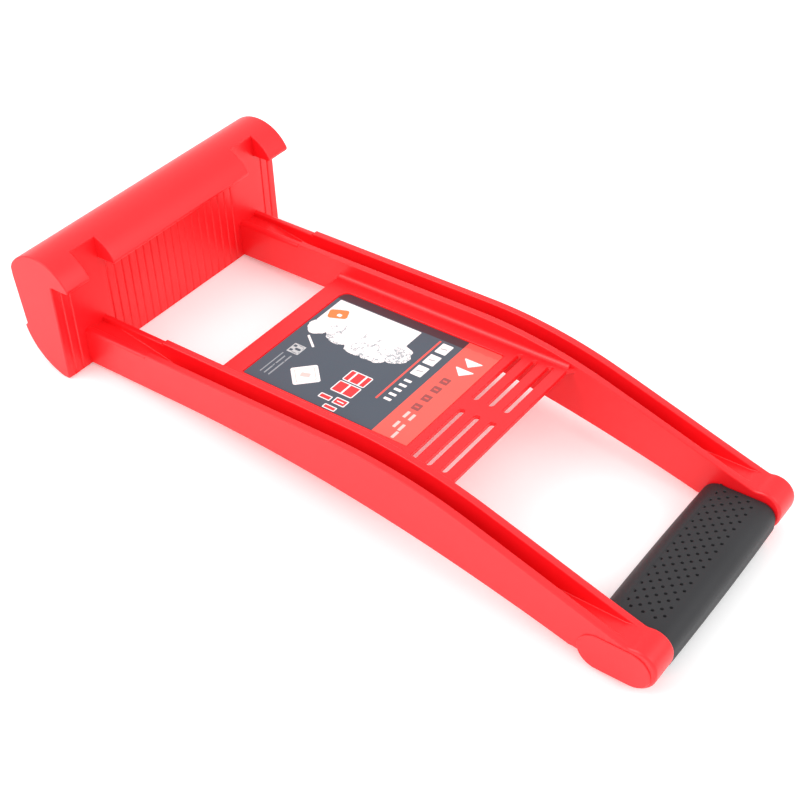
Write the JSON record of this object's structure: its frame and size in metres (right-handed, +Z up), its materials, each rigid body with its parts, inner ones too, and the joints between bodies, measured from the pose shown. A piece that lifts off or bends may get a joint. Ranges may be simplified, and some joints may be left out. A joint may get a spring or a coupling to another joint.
{
  "type": "drywall panel carrier",
  "caption": "Rigid hand-held carrier for a sheet of drywall or plywood: hooked head, side rails, cross panel with label and soft grip.",
  "frame": {"origin": "centre of the footprint, on the surface that the carrier lies on", "axes": "+X from the head to the grip, +Y to the left, +Z up; the carrier lies on the edge of its head and on its grip, so the rails' straight tops rise 7.56 degrees toward +X"},
  "size_m": [0.3518, 0.16, 0.0664],
  "materials": {
    "moulding": "semi-gloss red ABS with a faint moulded texture",
    "grip": "matte black soft grip with small dimples",
    "label": "printed film in dark slate, coral and white"
  },
  "bodies": {
    "root": {"head_cover": "moulding", "ribbed_wall": "moulding", "left_end_plate": "moulding", "right_end_plate": "moulding", "left_lip": "moulding", "middle_lip": "moulding", "right_lip": "moulding", "head_web_1": "moulding", "head_web_2": "moulding", "head_web_3": "moulding", "head_web_4": "moulding", "head_web_5": "moulding", "left_rail": "moulding", "right_rail": "moulding", "left_rail_end": "moulding", "right_rail_end": "moulding", "cross_panel": "moulding", "handle_core": "moulding", "grip_sleeve": "grip", "label_sheet": "label"}
  },
  "joints": []
}
